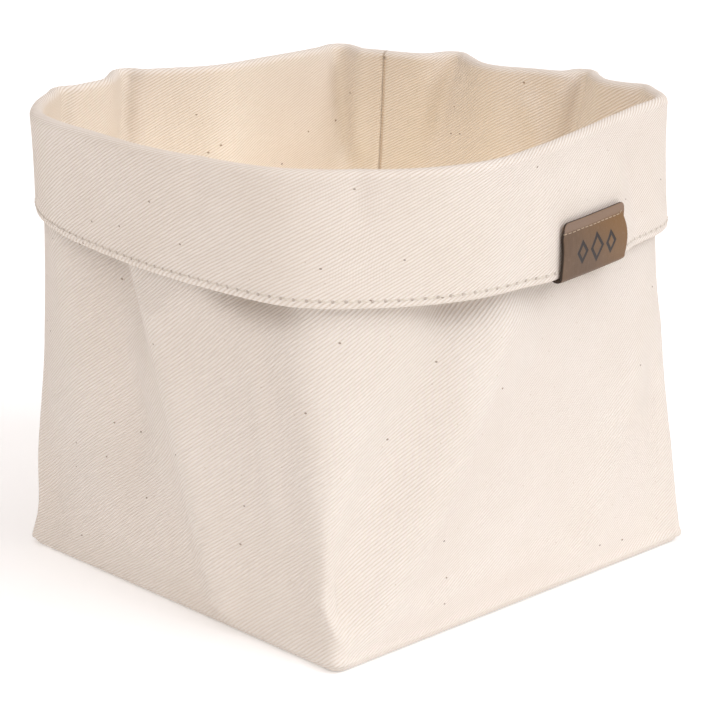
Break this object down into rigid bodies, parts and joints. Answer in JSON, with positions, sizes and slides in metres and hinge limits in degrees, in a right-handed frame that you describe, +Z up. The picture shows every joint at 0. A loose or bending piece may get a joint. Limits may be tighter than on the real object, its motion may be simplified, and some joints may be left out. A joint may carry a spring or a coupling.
{
  "type": "fabric storage bin",
  "caption": "Open-topped, lined cloth storage bin on a square base, its top turned out as a deep cuff with a leather label looped round the hem.",
  "frame": {"origin": "middle of the flat underside of the base", "axes": "+Z up through the open mouth; the side with the leather label faces -Y; the side seam is in the corner towards +X +Y"},
  "size_m": [0.2247, 0.2472, 0.1935],
  "materials": {
    "outer_cloth": "unbleached cotton drill, face out, matt with a soft twill rib and scattered brown seed flecks",
    "lining_cloth": "the same unbleached cotton drill, face towards the inside and the outside of the cuff",
    "leather": "mid brown leather with a satin surface and dark cut edges",
    "thread": "cream polyester sewing thread with a slight sheen"
  },
  "bodies": {
    "root": {"outer_wall": "outer_cloth", "outer_base": "outer_cloth", "lining_wall": "lining_cloth", "lining_base": "lining_cloth", "leather_label": "leather", "hem_needle_thread": "thread", "hem_bobbin_thread": "thread", "hem_join_thread": "thread", "label_needle_thread": "thread", "label_bobbin_thread": "thread", "outer_side_seam_thread": "thread", "lining_side_seam_thread": "thread", "outer_base_seam_thread": "thread", "lining_base_seam_thread": "thread"}
  },
  "joints": []
}
